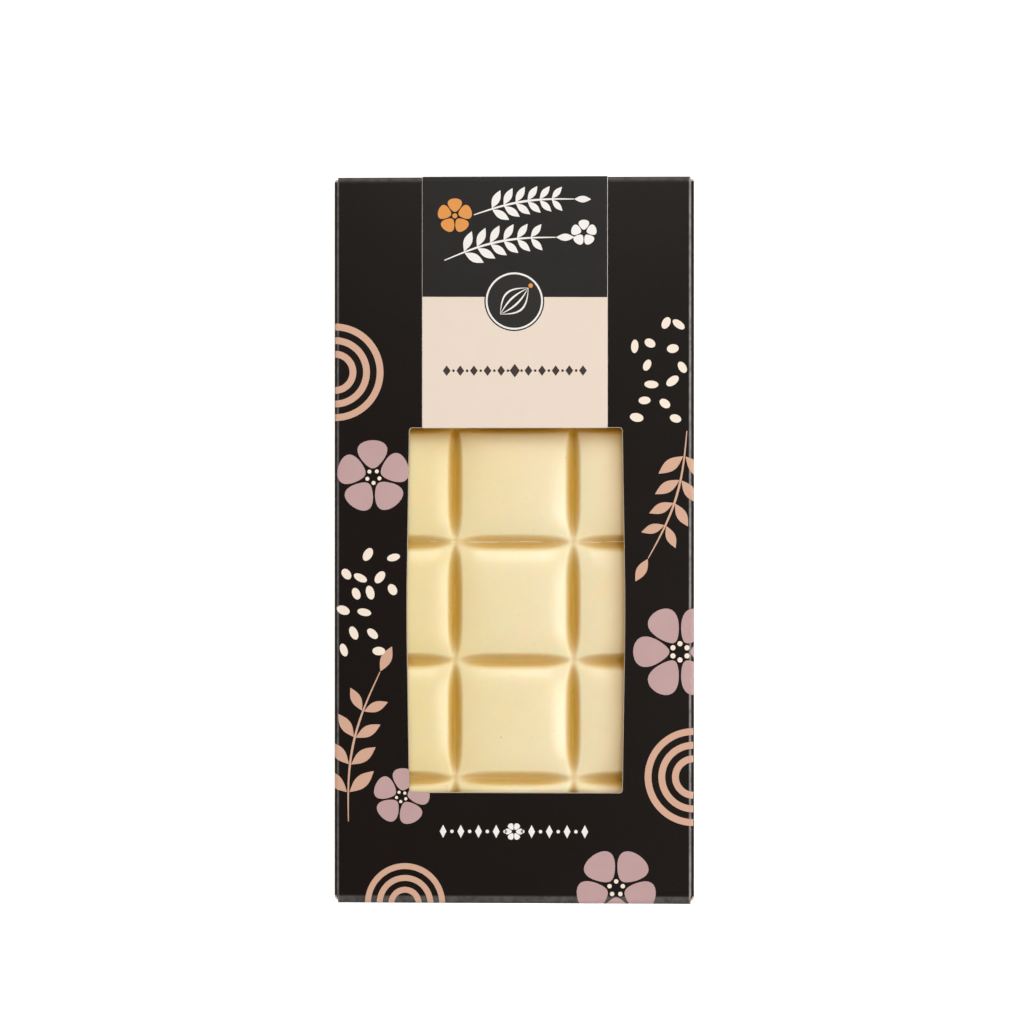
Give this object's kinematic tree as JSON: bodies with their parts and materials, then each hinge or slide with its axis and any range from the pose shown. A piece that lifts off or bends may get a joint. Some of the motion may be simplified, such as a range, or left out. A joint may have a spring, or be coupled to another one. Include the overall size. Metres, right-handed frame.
{
  "type": "chocolate bar in a window carton",
  "caption": "White chocolate bar of square pads in a flat black card carton with a window in its front, closed by a paper label over its top end.",
  "frame": {"origin": "centre of the pack's footprint, on the surface that its back lies on", "axes": "+Z out of the pack's front, +Y along its length to the labelled top end, +X to the right as the front is read"},
  "size_m": [0.0794, 0.1602, 0.0102],
  "materials": {
    "card": "matt black printed card with a fine grain, and muted mauve, salmon and cream print",
    "label_paper": "matt paper, warm off-white below and near-black above",
    "white_chocolate": "smooth satin white chocolate, cream yellow"
  },
  "bodies": {
    "root": {"carton": "card", "label": "label_paper", "chocolate_bar": "white_chocolate"}
  },
  "joints": []
}
